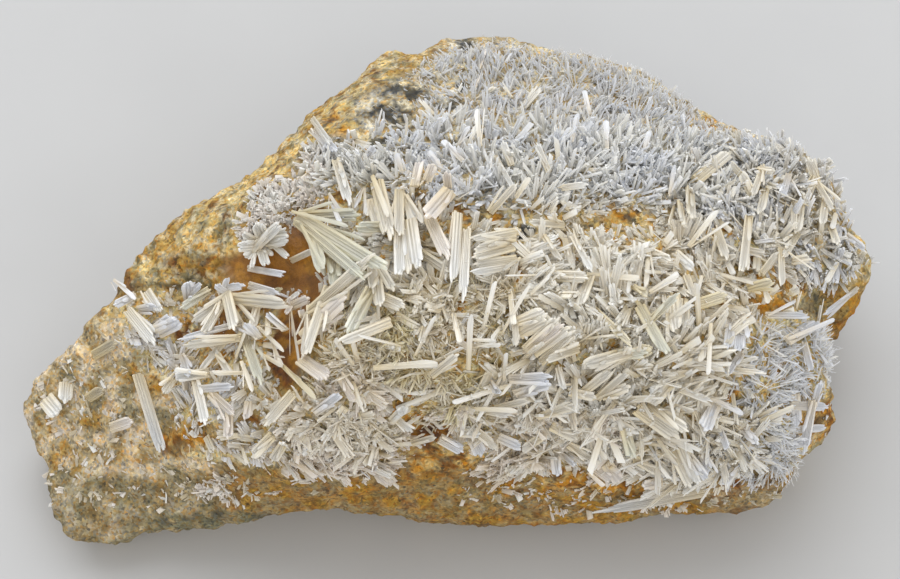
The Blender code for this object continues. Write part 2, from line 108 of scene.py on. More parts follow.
# Where bare rock shows inside the crust: middle and half lengths in pixels, how bare it is, and what shows.
BARE_SPOTS = rows(
    "404 92 27 9 0.95 slate, 388 113 28 9 0.85 slate, 353 123 8 6 0.7 slate, 377 145 12 8 0.9 slate",
    "448 107 13 6 0.9 slate, 407 132 9 8 0.8 slate, 464 142 10 7 0.9 slate, 460 86 8 7 0.9 slate",
    "464 42 11 8 0.8 slate, 340 124 16 14 0.9 sand, 500 152 7 6 0.7 slate, 400 190 26 5 0.6 orange",
    "436 212 24 6 0.7 orange, 478 220 34 8 0.9 sand, 622 223 40 14 0.97 sand, 524 232 16 9 0.8 slate",
    "560 212 22 7 0.6 sand, 722 230 16 7 0.85 orange, 700 262 8 5 0.5 sand, 768 300 20 12 0.9 orange",
    "790 284 20 8 0.8 orange, 752 268 12 8 0.7 orange, 405 408 26 16 0.85 sand, 430 432 24 14 0.85 brown",
    "440 460 34 14 0.85 orange, 560 242 9 4 0.5 sand, 700 124 18 8 0.4 sand, 306 224 16 10 0.7 brown",
    "286 380 8 12 0.85 brown, 292 330 10 22 0.9 brown, 283 350 14 30 0.9 brown, 186 330 14 6 0.8 brown",
    "216 352 18 7 0.7 orange, 212 368 16 5 0.7 orange, 152 385 9 12 0.8 orange, 222 320 14 12 0.8 brown",
    "172 444 18 14 0.8 orange, 195 432 22 14 0.6 orange, 250 420 10 8 0.6 brown, 246 302 12 6 0.6 brown",
    "330 452 14 8 0.6 orange, 566 478 30 12 0.8 orange, 620 486 30 8 0.8 orange, 735 480 12 8 0.7 brown",
    "820 417 24 20 0.9 orange, 780 370 10 6 0.4 orange, 726 400 14 10 0.4 sand, 454 300 8 6 0.4 orange",
    "340 196 10 5 0.7 orange, 322 214 8 8 0.8 brown",
)

# The ledge across the middle of the picture: a field of upright needles behind it, a jackstraw bed before it.
LEDGE_LINE_X = [225, 262, 300, 330, 390, 455, 560, 640, 720, 800, 880]
LEDGE_LINE_Y = [236, 216, 198, 192, 186, 208, 212, 218, 222, 262, 262]

# Beds of crystals by place: ovals in the picture, number of sheaves, kind, lean, length, width, lift, tints,
# number of sprays that share a heading, and whether the bed keeps inside the edge of the crust. The last tint
# is the darker root colour: painted shade at the feet of the crystals, with a limonite stain where it is
# amber.
BEDS = [
    ("field_back", "520 80 120 46, 640 112 90 40, 740 152 70 24, 450 88 30 40",
     5600, "needles", (8, 60), (1.2, 3.3), (0.22, 0.6), 0.5, "cool cool ash", 160, True),
    ("field_front", "430 166 110 38, 560 172 130 40, 690 186 90 40",
     4200, "pairs", (10, 62), (1.8, 4.6), (0.3, 0.95), 0.8, "white cool ash", 180, True),
    ("field_right", "780 205 90 62, 835 255 50 34",
     1900, "laths", (30, 75), (2.0, 5.2), (0.4, 1.0), 1, "cream cool tan", 90, True),
    ("middle_bed", "400 262 110 58, 600 260 150 52, 735 272 60 50",
     2800, "laths", (50, 86), (2.2, 5.8), (0.35, 1.0), 1.2, "cream white amber", 120, True),
    ("right_bed", "620 365 105 72, 680 440 70 50, 600 326 90 44",
     2500, "laths", (52, 85), (2.6, 7.4), (0.4, 1.15), 1.3, "cream white amber", 100, True),
    ("low_bed", "400 445 150 36, 540 440 100 52, 340 420 60 50",
     2800, "laths", (45, 86), (1.8, 4.8), (0.35, 1.0), 1, "rose cream amber", 110, True),
    ("left_spray", "190 330 84 44, 220 400 70 60, 298 306 16 16",
     1150, "laths", (50, 86), (1.8, 4.6), (0.35, 1.0), 0.9, "cool cream amber", 60, True),
    ("hollow_needles", "490 318 72 36, 400 340 44 42, 430 405 60 30, 340 360 40 40",
     4600, "needles", (25, 86), (1.0, 3.0), (0.16, 0.5), 1, "straw cream amber", 110, True),
    ("right_needles", "788 380 52 62, 750 450 50 40",
     2600, "needles", (20, 78), (1.4, 3.6), (0.2, 0.55), 1.1, "cool cool ash", 60, True),
    ("jackstraws", "620 330 120 90, 740 240 100 70, 430 400 140 60, 230 350 64 50",
     330, "splinters", (72, 94), (4.0, 9.0), (0.4, 0.8), 2.4, "cream white amber", 330, True),
    ("lobe_flecks", "88 412 48 46, 120 362 40 26, 120 470 66 44",
     420, "pairs", (72, 90), (0.9, 2.6), (0.35, 1.1), 0, "dull rose dull", 60, False),
    ("front_flecks", "260 490 66 12, 600 499 160 11, 768 488 36 16",
     650, "pairs", (50, 88), (0.8, 2.2), (0.35, 0.9), 0.05, "dull rose tan", 50, False),
    ("rim_needles", "290 206 36 24, 262 228 20 16, 330 160 24 18",
     1000, "pairs", (20, 75), (0.9, 2.1), (0.3, 0.8), 0.5, "rose white ash", 60, False),
]

# Laths that can be told apart: root x and y, tip x and y in the picture, width, and tint if it isn't cream.
LATHS = rows(
    # the big blades below the rosette and the ledge
    "302 218 396 276 2 green, 306 228 372 284 1.6 green, 322 312 378 250 1.4, 316 336 350 292 1.6 rose",
    "382 188 392 243 2, 402 192 399 240 1.3, 338 172 351 208 1.3 white, 312 222 362 214 1.6 green",
    "388 232 352 228 1.5 green, 404 232 400 278 1.6 white, 414 230 418 272 1.6 white, 408 236 409 276 1.6",
    "457 226 453 284 1.3 white, 463 232 463 306 1.3 white, 428 222 450 262 1.6 rose",
    "446 200 424 220 1.8 rose, 412 206 424 224 0.6, 424 256 450 272 1.2, 512 240 470 240 1.2",
    "511 249 470 250 1.1, 510 257 471 258 1.1, 509 265 472 265 1.1, 504 274 470 273 0.9 white",
    "330 200 340 222 0.6 cool, 337 200 346 220 0.5 cool, 356 196 354 210 0.4 cool",
    "366 196 366 216 0.4 white, 376 208 378 228 0.9, 414 216 416 230 0.7 white, 424 214 424 226 0.5 white",
    "320 240 322 272 1.6 green, 333 262 336 290 1.4 green, 352 300 348 270 1, 368 268 374 296 1",
    "380 262 396 294 1, 384 306 406 308 1.5, 371 300 347 335 1.5 green, 378 286 381 307 1.2",
    "388 328 338 343 1.3, 338 293 303 361 1.3, 320 314 302 364 0.8, 299 318 300 367 0.5",
    "292 370 319 401 0.7 yellow, 318 408 341 393 1.2 cool, 310 365 331 380 2 rose, 297 397 263 428 1.3",
    "277 433 251 459 1.4, 345 380 356 404 0.9 rose, 300 307 287 298 0.9 rose, 299 309 311 297 1 rose",
    "298 308 286 315 0.9 rose, 301 310 311 320 0.9 rose, 297 305 300 292 0.8 white",
    "404 402 397 412 1.2 white, 394 411 407 406 1.1 white, 321 140 340 154 1.2 cool",
    "318 130 332 146 1 white",
    # the hollow in the middle
    "419 330 421 344 0.9, 478 338 501 345 0.5 white, 476 342 498 341 0.5 white, 454 320 460 343 0.6",
    "433 368 461 352 0.9, 504 303 514 325 0.7, 512 320 517 350 0.8, 491 377 500 395 0.8 cool",
    "486 402 513 415 1 white, 466 422 481 433 1.2 white, 472 433 482 456 1.7 cool, 444 432 466 452 1.5 cool",
    "408 415 413 433 0.8 white, 414 433 438 436 0.9, 397 400 402 412 1.1 white, 480 420 500 452 1",
    "506 430 522 448 1.3 cool, 500 400 530 400 0.8",
    # right of it: the parallel fan, the bluish sheaf and the bright needle
    "519 325 547 311 1.6, 521 332 549 318 1.4, 522 345 560 316 1.2, 528 349 566 322 1.2 rose",
    "536 352 573 324 1.2, 543 354 577 328 1.1, 517 377 555 376 1.3 cool, 516 384 554 383 1.3 cool",
    "562 368 564 392 0.9 white, 570 347 543 361 1.1, 552 280 592 277 1.5, 590 278 640 278 0.7",
    "540 245 562 263 0.8, 562 248 575 273 0.8, 570 246 593 273 0.8 white, 593 283 579 307 1.3",
    "633 245 654 249 0.8, 646 253 672 261 1.1, 677 264 694 270 1.2 white, 643 260 646 290 0.6",
    "626 280 628 295 0.5 white, 649 295 679 273 0.7 white, 631 296 648 296 0.8 yellow",
    "633 314 669 359 1.5 green, 668 310 676 332 1.6, 678 310 684 330 1.5, 646 320 681 291 1 green",
    "692 310 729 294 1.5 yellow, 684 286 696 300 0.9, 601 319 633 346 0.9 yellow, 633 346 580 368 1.2",
    "613 348 583 364 1.5, 636 348 653 346 1.5 yellow, 663 323 668 344 0.5, 668 344 681 334 0.6",
    "699 341 700 363 0.7, 737 316 739 353 1.6 cool, 726 318 728 350 1.2 cool, 737 356 726 376 0.9 cool",
    "572 389 599 398 1, 541 405 583 404 0.9, 605 388 633 385 1.1, 586 384 612 370 1.2, 600 388 628 371 1.1",
    "620 350 650 352 1.3 green",
    # the lower right, with its long down-pointing blades
    "639 402 682 440 1.9, 645 400 690 432 1.3, 659 384 650 404 1.7, 678 386 714 402 0.9 white",
    "714 398 746 415 0.7 cool, 712 405 704 434 1.4 cool, 692 415 706 436 0.9, 676 448 692 488 1.4",
    "684 446 699 488 1.3 white, 692 450 708 480 1.3 cool, 700 450 710 474 1 cool, 702 434 707 466 0.5 white",
    "625 425 633 460 1.4 green, 662 434 677 466 0.6, 595 438 608 460 0.6, 598 460 612 480 1.6 rose",
    "606 458 620 482 1.6 rose, 566 448 576 466 0.9 cool, 554 456 558 478 1.1 cool, 570 440 596 462 1",
    "540 430 520 452 1.2, 556 420 580 440 1.1, 640 455 664 476 1.1, 655 474 640 486 1.2 rose",
    "720 420 728 450 1 cool, 740 430 760 446 0.9 cool, 730 465 722 486 1.1 cool",
    # the right shoulder
    "714 234 728 262 1.2, 714 258 738 257 0.8, 741 226 742 275 1.2, 724 260 734 275 0.7 white",
    "744 250 768 253 0.8, 779 251 760 272 1, 794 241 782 260 1, 772 257 782 287 1",
    "745 288 774 281 1.2 yellow, 754 289 769 305 0.7, 799 289 786 299 0.9, 845 288 820 318 0.9 cool",
    "820 322 780 340 1.5 cool, 808 316 763 322 1 cool, 787 263 811 257 1.1, 792 208 797 234 1.2",
    "731 151 697 188 1.6, 730 162 735 178 0.9, 741 172 744 194 1.3, 776 171 757 180 1, 757 180 752 197 0.9",
    "763 197 760 214 1.2, 808 156 810 186 1.2, 808 186 804 206 1, 782 184 782 200 1 cool",
    "812 190 834 211 0.9, 818 207 822 225 1.1, 793 214 794 232 0.9, 681 198 692 221 1.3",
    "674 206 684 228 1.8, 675 162 661 197 0.6 cool, 845 240 868 250 0.9 cool, 824 232 838 246 0.9",
    "806 402 821 380 1 cool, 803 404 803 458 1.2 cool, 796 350 812 372 0.9 cool",
    # the spray on the left
    "232 291 213 284 1 cool, 230 290 228 277 0.8 cool, 227 288 247 285 1 cool, 239 299 289 304 1.7",
    "257 286 282 295 1.1 cool, 233 292 235 331 1.5, 232 299 191 323 1.3, 225 307 203 335 1.3",
    "210 294 178 311 1.2 green, 194 296 188 281 1.5 cool, 198 294 203 282 1 cool, 132 305 112 307 1.2 cool",
    "123 286 137 300 0.6 cool, 143 310 157 306 1.3 cool, 155 291 162 314 1.1 white",
    "133 314 157 347 1.5 white, 168 333 181 321 2 cool, 160 326 172 316 1.4 cool, 241 332 172 342 0.9 cool",
    "247 343 178 347 1.2, 208 338 222 357 0.5, 232 347 200 370 0.9, 265 312 291 333 0.9 cool",
    "262 315 252 329 1.1, 243 322 256 344 0.9 cool, 250 334 263 388 1.3 green, 266 337 287 354 0.5",
    "271 352 282 366 0.5, 264 362 285 367 0.6, 275 324 268 337 0.7, 213 377 174 378 1.4 white",
    "188 365 190 379 1 cool, 210 373 247 373 0.6, 176 384 163 395 1.2, 203 390 206 426 1.2 white",
    "206 393 235 386 1 cool, 221 399 237 416 1.2 rose, 228 358 231 376 0.9, 248 372 254 394 0.6",
    "240 414 228 440 1.2 rose, 256 404 246 420 1 rose, 286 440 272 462 1.2",
    # larger needles of the upper field
    "484 150 476 106 0.7 white, 505 170 502 140 0.9 white, 496 168 514 190 0.8 white",
    "458 168 442 140 0.7 cool, 464 150 470 124 0.6 cool, 474 148 478 122 0.7 white",
    "540 176 536 142 0.8 white, 566 148 578 112 0.7 cool, 600 150 606 120 0.7 cool",
    "436 172 428 150 0.7 cool, 404 176 396 152 0.7 cool, 520 200 530 176 0.7, 640 160 650 128 0.7 cool",
    "590 120 584 90 0.6 cool, 560 196 590 184 0.9 white, 496 214 518 182 0.8, 554 226 528 222 0.9",
    "370 164 376 144 0.9 cool, 418 186 420 160 1.2 rose, 430 186 434 162 1.1 rose, 446 192 446 170 1.1 rose",
)

# Crystals that stand alone on bare rock, each a solid of its own: tint, then root, tip, rise and width.
SINGLES = {
    "hollow_lath_left": ("cool", "253 269 287 275 1.8 0.8"),
    "hollow_lath_right": ("cream", "295 260 318 248 2.6 0.8"),
    "hollow_lath_low": ("straw", "264 300 284 287 1.6 0.8"),
    "lobe_blade": ("grey", "140 379 162 454 3.4 1.4"),
    "lobe_lath_high": ("dull", "98 352 118 341 1.6 1.3"),
    "lobe_lath_middle": ("dull", "92 396 104 388 1.5 1.3"),
    "lobe_lath_low": ("rose", "117 426 134 420 1.8 1.4"),
    "front_lath": ("grey", "704 489 591 513 3 1.5"),
    "tip_grain_high": ("white", "68 386 65 404 1.6 1.8"),
    "tip_grain_low": ("white", "50 402 60 416 1.6 2.2"),
    "rim_rosette": (
        "white",
        "258 246 237 247 2.2 1.3, 256 248 244 260 1.9 1.2, 257 248 281 224 3.2 1.3, 268 243 289 239 2.6 1.3",
        "276 247 288 258 1.8 0.8, 257 251 251 270 1.8 0.6, 262 250 266 266 2 1.2, 264 236 256 222 2.4 1.6",
        "254 240 241 234 2 0.9, 270 236 288 230 2.4 0.8",
    ),
    "edge_lath_pair": ("cool", "790 406 832 407 1.8 1.1, 790 429 836 429 1.8 1, 794 398 798 428 1.4 1.2"),
}

# The smooth limonite skin of the hollow, as ovals in the picture.
HOLLOW = rows("272 270 50 24, 304 246 22 30, 308 280 18 34, 290 335 14 46, 250 300 40 10, 222 330 22 20")

# Marks on the bare rock: a stain on its upper left edge, painted shade along the underside of the lobe, and a
# stain on the front below the right end.
LOCAL_STAINS_AND_SHADE = ("122 284 20 18, 196 262 34 8", "215 522 70 12", "748 495 44 22")

# Noise that the rock's colours are laid by: size in millimetres, and shift.
MOTTLE_FIELDS = [(4.4, 3.0), (2.4, 13.0), (1.7, 21.0), (1.0, 31.0), (2.8, 41.0)]

# What lies over the colour of a bare spot: colour, number of the noise field, level and strength.
SPOT_LAYERS = {
    "slate": "olive 1 0.2 0.4, grey 3 0.3 0.5",
    "sand": "ochre 0 0.05 0.5, orange 2 0.08 0.9, slate 3 0.2 0.8, chalk 1 0.2 0.5",
    "orange": "brown 2 0.05 0.8, sand 3 0.1 0.7, olive 1 0.25 0.5",
    "brown": "orange 2 0.1 0.6, slate 3 0.3 0.4",
}

# The soft light, in metres: name, place, size, energy and colour of each panel, and the room's brightness.
LIGHT_PANELS = [
    ("sky panel", (-0.12, 0.42, 0.62), 0.9, 4.2, (0.97, 0.985, 1.0)),
    ("front panel", (0.2, -0.55, 0.5), 0.8, 1.9, (1.0, 0.975, 0.935)),
]
LIGHTS_AIM = (0, 0, 0.02)
ROOM_STRENGTH = 0.79


def linear(code):
    """A colour given as an sRGB hex code, as linear red, green and blue."""
    channels = [int(code[i : i + 2], 16) / 255 for i in (1, 3, 5)]
    return [c / 12.92 if c <= 0.04045 else ((c + 0.055) / 1.055) ** 2.4 for c in channels]


def smooth(value):
    value = np.clip(value, 0.0, 1.0)
    return value * value * (3 - 2 * value)


def color_property(name, description, code):
    return FloatVectorProperty(
        name=name, description=description, default=linear(code), subtype="COLOR", size=3, min=0, max=1
    )


class SpecimenSizes(bpy.types.PropertyGroup):
    """How fine the rock is and how thickly the crystals stand."""

    rock_levels: IntProperty(
        name="Rock levels", description="Subdivisions of the rock", default=3, min=1, max=3
    )
    pit_height: FloatProperty(
        name="Pit height", description="Relief of the broken rock", default=0.00042, unit="LENGTH"
    )
    sand_grain: FloatProperty(
        name="Sand grain", description="Width of a sand grain of the rock", default=0.00036, unit="LENGTH"
    )
    growth_line: FloatProperty(
        name="Growth line", description="Spacing of the lines along a crystal", default=0.0003, unit="LENGTH"
    )
    bed_share: FloatProperty(
        name="Bed share", description="How thickly the crystals stand", default=1.0, min=0.1, subtype="FACTOR"
    )
    lath_height: FloatProperty(
        name="Lath height", description="Height of the large laths' roots", default=0.0016, unit="LENGTH"
    )


class SpecimenColors(bpy.types.PropertyGroup):
    """Colours of the rock and of the crystals."""

    sand: color_property("Sand", "Pale yellow sandstone", "#dac68e")
    ochre: color_property("Ochre", "Limonite-stained sandstone", "#b08c38")
    orange: color_property("Orange", "Bright limonite", "#bd8824")
    brown: color_property("Brown", "Goethite", "#6f4312")
    skin: color_property("Skin", "Smooth limonite skin of the hollow", "#96641a")
    olive: color_property("Olive", "Greenish grey sandstone", "#7d7b64")
    slate: color_property("Slate", "Dark grey patches", "#46484a")
    # A limonite stain, and painted shade at the feet of the crystals.
    amber: color_property("Amber", "Limonite stain at the roots of the crystals", "#dcbf80")
    tan: color_property("Tan", "Weathered sandstone of the bare lobe", "#a39474")
    chalk: color_property("Chalk", "Palest grains and crystal crumbs", "#ddd4ba")
    white: color_property("White", "Freshest crystals", "#f8f7f1")
    # White crystals with a painted bluish reflection.
    cool: color_property("Cool", "Crystals of the upper field", "#ecf0f9")
    cream: color_property("Cream", "Crystals of the middle", "#f3ecdc")
    yellow: color_property("Yellow", "Crystals stained by limonite", "#ede0be")
    green: color_property("Green", "Thick greenish grey laths", "#dfdfcd")
    rose: color_property("Rose", "Faintly brown-pink laths", "#f3e8de")
    straw: color_property("Straw", "Fine crystals in the hollows", "#ece2b6")
    grey: color_property("Grey", "Greyish lone laths", "#d4d4d2")
    # Painted shade at the feet of the crystals of the upper field.
    ash: color_property("Ash", "Feet of the crystals of the upper field", "#cdcac2")
    dull: color_property("Dull", "Low crystals of the bare lobe", "#c6b99c")
    floor: color_property("Floor", "The floor", "#c4c5c7")


def tone(name):
    """One of the specimen's colours."""
    return np.array(getattr(bpy.context.scene.specimen_colors, name))


def deselect_all():
    if bpy.context.mode != "OBJECT":
        bpy.ops.object.mode_set(mode="OBJECT")
    bpy.ops.object.select_all(action="DESELECT")


def view_axes():
    ahead = Vector((0, math.cos(VIEW_ELEVATION), -math.sin(VIEW_ELEVATION)))
    up = Vector((0, math.sin(VIEW_ELEVATION), math.cos(VIEW_ELEVATION)))
    return ahead, up, VIEW_TARGET - ahead * VIEW_DISTANCE


def view_ray(pixel):
    """Where the line of sight starts, and its direction through a pixel."""
    ahead, up, eye = view_axes()
    side = (pixel[0] - VIEW_MIDDLE[0]) * PIXEL / VIEW_DISTANCE
    height = (VIEW_MIDDLE[1] - pixel[1]) * PIXEL / VIEW_DISTANCE
    return eye, (ahead + Vector((side, 0, 0)) + up * height).normalized()


def pixels_of(points):
    """Each point's place in the picture."""
    ahead, up, eye = (np.array(axis) for axis in view_axes())
    from_eye = points - eye
    scale = VIEW_DISTANCE / PIXEL / (from_eye @ ahead)
    across, down = VIEW_MIDDLE[0] + from_eye[:, 0] * scale, VIEW_MIDDLE[1] - (from_eye @ up) * scale
    return np.column_stack([across, down])


def distance_to(pixels, a, b):
    along = b - a
    share = np.clip(((pixels - a) @ along) / (along @ along), 0, 1)
    return np.linalg.norm(pixels - a - share[:, None] * along, axis=1)


def inside_edge(pixels, outline):
    """How many pixels each place lies inside a closed outline, negative outside."""
    corners = np.array(outline, float)
    nearest = np.full(len(pixels), 1e9)
    inside = np.zeros(len(pixels), bool)
    for a, b in zip(corners, np.roll(corners, -1, axis=0)):
        nearest = np.minimum(nearest, distance_to(pixels, a, b))
        crosses = (a[1] > pixels[:, 1]) != (b[1] > pixels[:, 1])
        reach = a[0] + (pixels[:, 1] - a[1]) / (b[1] - a[1] if b[1] != a[1] else 1) * (b[0] - a[0])
        inside ^= crosses & (pixels[:, 0] < reach)
    return np.where(inside, nearest, -nearest)


def spot_share(pixels, spot):
    """How much of a soft-edged oval covers each place, from 0 to 1."""
    away = np.hypot((pixels[:, 0] - spot[0]) / spot[2], (pixels[:, 1] - spot[1]) / spot[3])
    return smooth((1.3 - away) / 0.6)


def spots_share(pixels, spots):
    share = np.zeros(len(pixels))
    for spot in spots:
        share = np.maximum(share, spot_share(pixels, spot))
    return share


def noise_at(points, size, shift=0.0):
    """Smooth noise of this size in millimetres, about -1 to 1."""
    return np.array([noise.noise(Vector(p) / size + Vector((shift, shift, shift))) for p in points])


def points_of(mesh):
    flat = np.empty(len(mesh.vertices) * 3)
    mesh.vertices.foreach_get("co", flat)
    return flat.reshape(-1, 3) / MM


def normals_of(mesh):
    flat = np.empty(len(mesh.vertices) * 3)
    mesh.vertex_normals.foreach_get("vector", flat)
    return flat.reshape(-1, 3)


def add_node(tree, kind, settings=None, **links):
    """Adds a shader node. A setting is an attribute or an input, and a link feeds an input from an output."""
    made = tree.nodes.new(kind)
    for key, value in (settings or {}).items():
        if hasattr(made, key):
            setattr(made, key, value)
        else:
            made.inputs[int(key) if key.isdigit() else key].default_value = value
    for key, source in links.items():
        name = key.replace("_", " ")
        target = made.inputs[int(key[1:])] if key[0] == "i" and key[1:].isdigit() else made.inputs[name]
        tree.links.new(source, target)
    return made


def new_material(name, **settings):
    made = bpy.data.materials.new(name)
    made.use_nodes = True
    shader = made.node_tree.nodes["Principled BSDF"]
    for key, value in settings.items():
        shader.inputs[key.replace("_", " ")].default_value = value
    return made, made.node_tree, shader


def ramp(tree, source, stops):
    """A colour ramp through stops of place and linear colour or grey."""
    made = add_node(tree, "ShaderNodeValToRGB", i0=source)
    elements = made.color_ramp.elements
    while len(elements) < len(stops):
        elements.new(0.5)
    for element, (place_on, value) in zip(elements, stops):
        element.position = place_on
        element.color = (*(value if hasattr(value, "__len__") else [value] * 3), 1)
    return made.outputs["Color"]


def multiply(tree, a, b, share=1.0):
    settings = {"data_type": "RGBA", "blend_type": "MULTIPLY", "0": share}
    return add_node(tree, "ShaderNodeMix", settings, i6=a, i7=b).outputs[2]


def sandstone(sizes):
    """Limonite-stained sandstone: quartz grains a third of a millimetre wide, each with its own shade.

    The broad stain, with the painted shade under the lobe, comes from the rock's own colour attribute. Matt,
    and smoother on the skin of the hollow.
    """
    made, tree, shader = new_material("limonite stained sandstone", Roughness=0.8)
    place_on = add_node(tree, "ShaderNodeTexCoord").outputs["Object"]
    # The stain attribute: the rock's stains, and the painted shade under the lobe.
    stain = add_node(tree, "ShaderNodeAttribute", {"attribute_name": "stain"}).outputs["Color"]
    sand = add_node(tree, "ShaderNodeAttribute", {"attribute_name": "sand"}).outputs["Fac"]
    grains = add_node(tree, "ShaderNodeTexVoronoi", {"Scale": 1 / sizes.sand_grain}, Vector=place_on)
    rough = {"Scale": 0.5 / sizes.sand_grain, "Detail": 4.0, "Roughness": 0.7}
    fine = add_node(tree, "ShaderNodeTexNoise", rough, Vector=place_on)
    pick = add_node(tree, "ShaderNodeSeparateColor", i0=grains.outputs["Color"])
    shade = ramp(tree, pick.outputs[0], [(0.0, 0.45), (0.15, 0.75), (0.5, 0.95), (0.85, 1.08), (1.0, 1.28)])
    warmth = ramp(tree, pick.outputs[1], [
        (0.0, linear("#b9bcc4")), (0.16, linear("#ffffff")), (0.6, linear("#fff6e0")),
        (0.85, linear("#ffe9bc")), (1.0, linear("#ffd699")),
    ])
    drift = ramp(tree, fine.outputs["Fac"], [(0.32, 0.62), (0.5, 1.0), (0.66, 1.2)])
    plain = {"data_type": "RGBA", "6": (1, 1, 1, 1)}
    grain_part = add_node(tree, "ShaderNodeMix", plain, i0=sand, i7=multiply(tree, shade, warmth))
    color = multiply(tree, multiply(tree, stain, grain_part.outputs[2]), drift, 0.85)
    tree.links.new(color, shader.inputs["Base Color"])
    gloss = ramp(tree, sand, [(0.3, 0.42), (0.9, 0.85)])
    tree.links.new(gloss, shader.inputs["Roughness"])
    relief = {"Strength": 0.8, "Distance": 0.00022}
    bump = add_node(tree, "ShaderNodeBump", relief, Height=fine.outputs["Fac"])
    tree.links.new(bump.outputs["Normal"], shader.inputs["Normal"])
    return made


def cerussite(name, sizes, roughness, see_through):
    """Cerussite: a lead carbonate of high index and silky lustre, milky, with light scattered inside.

    Growth lines run along each slat, on its own map in millimetres. Its tint is an attribute of each slat,
    going over into painted shade and stain at its root.
    """
    made, tree, shader = new_material(
        name, Roughness=roughness, IOR=1.9, Subsurface_Weight=see_through, Subsurface_Scale=0.001,
        Subsurface_Radius=(1.0, 0.92, 0.78),
    )
    tint = add_node(tree, "ShaderNodeAttribute", {"attribute_name": "tint"}).outputs["Color"]
    lines_map = add_node(tree, "ShaderNodeUVMap", {"uv_map": "growth"}).outputs["UV"]
    close = MM / sizes.growth_line
    stretch = add_node(tree, "ShaderNodeMapping", {"Scale": (close, close * 0.06, 1.0)}, Vector=lines_map)
    fibres = {"Scale": 1.0, "Detail": 3.0}
    lines = add_node(tree, "ShaderNodeTexNoise", fibres, Vector=stretch.outputs["Vector"])
    shade = ramp(tree, lines.outputs["Fac"], [(0.3, 0.82), (0.5, 0.97), (0.68, 1.05)])
    tree.links.new(multiply(tree, tint, shade), shader.inputs["Base Color"])
    ridges = {"Strength": 0.6, "Distance": 0.0001}
    bump = add_node(tree, "ShaderNodeBump", ridges, Height=lines.outputs["Fac"])
    tree.links.new(bump.outputs["Normal"], shader.inputs["Normal"])
    return made


def surface_of(thing):
    return BVHTree.FromPolygons(
        [Vector(p) for p in points_of(thing.data)], [tuple(face.vertices) for face in thing.data.polygons]
    )


def place(surface, pixel):
    """The point and normal of the rock that show at a pixel, which is drawn in until rock shows there."""
    place_now = Vector(pixel)
    for _ in range(MOST_STEPS_IN):
        eye, direction = view_ray(place_now)
        point, normal, _, _ = surface.ray_cast(eye, direction)
        if point is not None:
            return point, normal, direction
        place_now += (Vector(VIEW_MIDDLE) - place_now).normalized()
    raise ValueError(f"no rock shows near {pixel}")


def select_in_edit(thing, mode, chosen):
    """Selects the faces or points of an object in edit mode for which chosen is true."""
    bpy.ops.mesh.select_mode(type=mode)
    bpy.ops.mesh.select_all(action="DESELECT")
    shape = bmesh.from_edit_mesh(thing.data)
    for item in shape.faces if mode == "FACE" else shape.verts:
        item.select_set(chosen(item))
    bmesh.update_edit_mesh(thing.data)


def start_unit(add_primitive, **size):
    """Adds a primitive that stands on the origin, and opens it in edit mode."""
    deselect_all()
    add_primitive(location=(0, 0, 0.5), **size)
    bpy.ops.object.transform_apply(location=True, rotation=False, scale=False)
    bpy.ops.object.mode_set(mode="EDIT")
    return bpy.context.object


def end_unit(thing):
    """Closes edit mode and takes the object's points and faces, to be copied."""
    bpy.ops.object.mode_set(mode="OBJECT")
    points = points_of(thing.data) * MM
    faces = np.array([tuple(face.vertices) for face in thing.data.polygons])
    bpy.data.objects.remove(thing, do_unlink=True)
    return points, faces


def model_slat(root_width, tip_width, tip_depth, slant):
    """One slat of unit size from a cube: both ends are drawn in, and the tip is cut at a slant."""
    slat = start_unit(bpy.ops.mesh.primitive_cube_add, size=1)
    select_in_edit(slat, "FACE", lambda face: face.normal.z < -0.9)
    bpy.ops.transform.resize(value=(root_width, root_width, 1))
    select_in_edit(slat, "FACE", lambda face: face.normal.z > 0.9)
    bpy.ops.transform.resize(value=(tip_width, tip_depth, 1))
    select_in_edit(slat, "VERT", lambda point: point.co.z > 0.9 and point.co.x > 0)
    bpy.ops.transform.translate(value=(0, 0, -slant))
    return end_unit(slat)


def model_lath(root_width, shoulder, tip_width, slant):
    """One flat six-sided lath of unit size, with narrow bevels along its edges and a bevelled tip."""
    lath = start_unit(bpy.ops.mesh.primitive_cylinder_add, vertices=6, radius=0.5, depth=1)
    select_in_edit(lath, "VERT", lambda point: abs(point.co.x) < 0.45)
    bpy.ops.transform.resize(value=(1.5, 1, 1))
    select_in_edit(lath, "FACE", lambda face: face.normal.z < -0.9)
    bpy.ops.transform.resize(value=(root_width, 1, 1))
    select_in_edit(lath, "FACE", lambda face: face.normal.z > 0.9)
    bpy.ops.transform.translate(value=(0, 0, shoulder - 1))
    bpy.ops.mesh.extrude_region_move(TRANSFORM_OT_translate={"value": (0, 0, 1 - shoulder)})
    bpy.ops.transform.resize(value=(tip_width, 0.5, 1))
    select_in_edit(lath, "VERT", lambda point: point.co.z > 0.6 and point.co.x > 0)
    bpy.ops.transform.translate(value=(0, 0, -slant))
    bpy.ops.mesh.select_all(action="SELECT")
    bpy.ops.mesh.quads_convert_to_tris(quad_method="BEAUTY", ngon_method="BEAUTY")
    return end_unit(lath)


